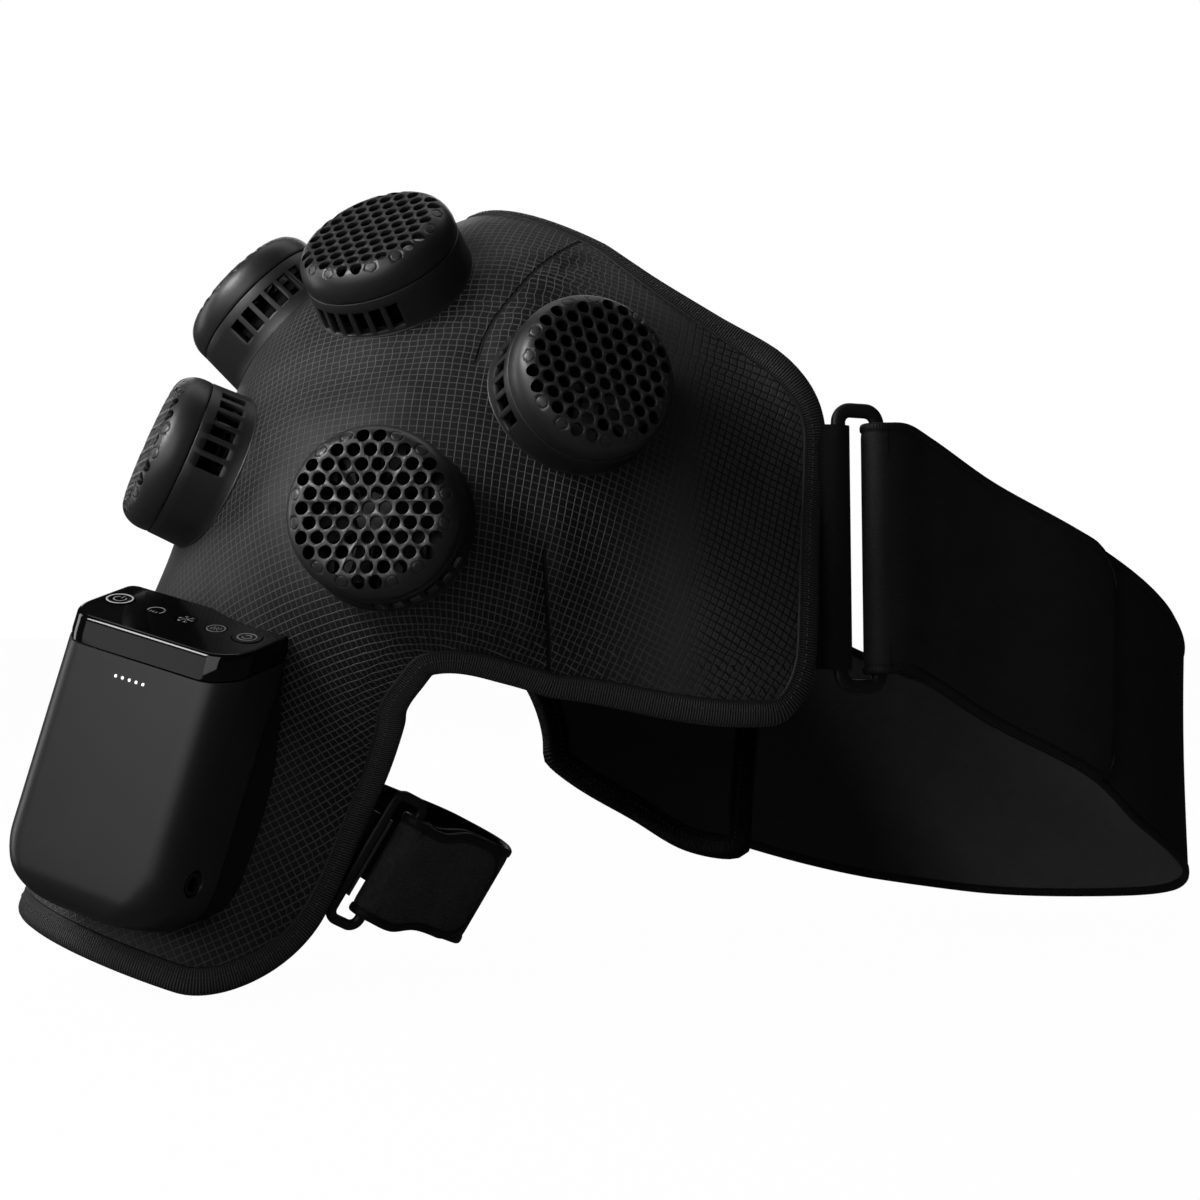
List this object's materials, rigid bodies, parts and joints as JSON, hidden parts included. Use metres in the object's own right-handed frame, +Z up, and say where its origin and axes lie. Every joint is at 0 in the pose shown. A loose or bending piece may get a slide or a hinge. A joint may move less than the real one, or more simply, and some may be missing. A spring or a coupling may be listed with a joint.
{
  "type": "hot and cold therapy shoulder wrap",
  "caption": "Moulded shoulder wrap with round fan-cooled pods, a battery and control pack on the arm, a wide chest strap and an arm strap.",
  "frame": {"origin": "the spot on the lining that rests on top of the shoulder", "axes": "+Z up, +X towards the middle of the body and the chest strap, -Y to the front"},
  "size_m": [0.4715, 0.3112, 0.3019],
  "materials": {
    "button_gloss": "glossy",
    "cell_sleeve": "shrink sleeve",
    "circuit_board": "varnished",
    "dock_rubber": "matte",
    "edge_tape": "ribbed tape",
    "fan_plastic": "satin",
    "gloss_panel": "glossy",
    "jack_plastic": "satin",
    "light_strip": "frosted",
    "pack_plastic": "satin",
    "plate_aluminium": "brushed",
    "pod_cap": "satin",
    "pod_casing": "satin",
    "ring_plastic": "satin",
    "shell_cloth": "ripstop cloth over foam",
    "strap_cloth": "brushed loop cloth",
    "tile_ceramic": "matte"
  },
  "bodies": {
    "wrap": {"arm_ring_tab": "edge_tape", "arm_strap": "strap_cloth", "battery_cell_1": "cell_sleeve", "battery_cell_2": "cell_sleeve", "battery_cell_3": "cell_sleeve", "battery_window": "gloss_panel", "charge_jack": "jack_plastic", "charge_lights": "light_strip", "chest_ring_tab": "edge_tape", "chest_strap": "strap_cloth", "circuit_board": "circuit_board", "cold_window": "gloss_panel", "control_cap": "gloss_panel", "edge_tape": "edge_tape", "heat_window": "gloss_panel", "pack_body": "pack_plastic", "pack_dock": "dock_rubber", "pod_back_cap": "pod_cap", "pod_back_cold_plate": "plate_aluminium", "pod_back_heat_sink": "plate_aluminium", "pod_back_housing": "pod_casing", "pod_back_spider": "fan_plastic", "pod_back_thermal_tile": "tile_ceramic", "pod_chest_cap": "pod_cap", "pod_chest_cold_plate": "plate_aluminium", "pod_chest_heat_sink": "plate_aluminium", "pod_chest_housing": "pod_casing", "pod_chest_spider": "fan_plastic", "pod_chest_thermal_tile": "tile_ceramic", "pod_front_cap": "pod_cap", "pod_front_cold_plate": "plate_aluminium", "pod_front_heat_sink": "plate_aluminium", "pod_front_housing": "pod_casing", "pod_front_spider": "fan_plastic", "pod_front_thermal_tile": "tile_ceramic", "pod_side_cap": "pod_cap", "pod_side_cold_plate": "plate_aluminium", "pod_side_heat_sink": "plate_aluminium", "pod_side_housing": "pod_casing", "pod_side_spider": "fan_plastic", "pod_side_thermal_tile": "tile_ceramic", "pod_top_cap": "pod_cap", "pod_top_cold_plate": "plate_aluminium", "pod_top_heat_sink": "plate_aluminium", "pod_top_housing": "pod_casing", "pod_top_spider": "fan_plastic", "pod_top_thermal_tile": "tile_ceramic", "shell": "shell_cloth"},
    "fan_top": {"pod_top_fan": "fan_plastic"},
    "fan_chest": {"pod_chest_fan": "fan_plastic"},
    "fan_front": {"pod_front_fan": "fan_plastic"},
    "fan_back": {"pod_back_fan": "fan_plastic"},
    "fan_side": {"pod_side_fan": "fan_plastic"},
    "power_button": {"power_button": "button_gloss"},
    "mode_button": {"mode_button": "button_gloss"},
    "chest_ring": {"chest_ring": "ring_plastic"},
    "chest_strap_tail": {"chest_strap_tail": "strap_cloth"},
    "arm_ring": {"arm_ring": "ring_plastic"},
    "arm_strap_tail": {"arm_strap_tail": "strap_cloth"}
  },
  "joints": [
    {"name": "fan_top_spin", "type": "hinge", "parent": "wrap", "child": "fan_top", "pos_m": [-0.04052, -0.06071, -0.01786], "axis": [-0.3228, -0.5887, 0.7411], "continuous": true},
    {"name": "fan_chest_spin", "type": "hinge", "parent": "wrap", "child": "fan_chest", "pos_m": [0.03535, -0.1022, -0.06701], "axis": [0.3666, -0.889, 0.2744], "continuous": true},
    {"name": "fan_front_spin", "type": "hinge", "parent": "wrap", "child": "fan_front", "pos_m": [-0.03615, -0.12974, -0.11504], "axis": [-0.1224, -0.9817, 0.1461], "continuous": true},
    {"name": "fan_back_spin", "type": "hinge", "parent": "wrap", "child": "fan_back", "pos_m": [-0.09387, 0.00246, -0.02784], "axis": [-0.7176, 0.0536, 0.6944], "continuous": true},
    {"name": "fan_side_spin", "type": "hinge", "parent": "wrap", "child": "fan_side", "pos_m": [-0.11609, -0.05271, -0.09111], "axis": [-0.8803, -0.2642, 0.3941], "continuous": true},
    {"name": "power_button_press", "type": "slide", "parent": "wrap", "child": "power_button", "axis": [-0.0736, 0.3373, -0.9385], "range_m": [0, 0.0006], "stiffness_N_per_m": 800, "springref_m": -0.0008},
    {"name": "mode_button_press", "type": "slide", "parent": "wrap", "child": "mode_button", "axis": [-0.0736, 0.3373, -0.9385], "range_m": [0, 0.0006], "stiffness_N_per_m": 800, "springref_m": -0.0008},
    {"name": "chest_ring_swing", "type": "hinge", "parent": "wrap", "child": "chest_ring", "pos_m": [0.12986, -0.05295, -0.12427], "axis": [-0.0039, 0.0798, 0.9968], "range_deg": [-6, 6]},
    {"name": "chest_tail_peel", "type": "hinge", "parent": "wrap", "child": "chest_strap_tail", "pos_m": [0.14919, -0.05211, -0.12426], "axis": [0.0039, -0.0798, -0.9968], "range_deg": [0, 60]},
    {"name": "arm_ring_swing", "type": "hinge", "parent": "wrap", "child": "arm_ring", "pos_m": [-0.04729, -0.06878, -0.2376], "axis": [0.5043, 0.0469, 0.8623], "range_deg": [-6, 6]},
    {"name": "arm_tail_peel", "type": "hinge", "parent": "wrap", "child": "arm_strap_tail", "pos_m": [-0.03394, -0.06523, -0.2456], "axis": [-0.5043, -0.0469, -0.8623], "range_deg": [0, 60]}
  ]
}
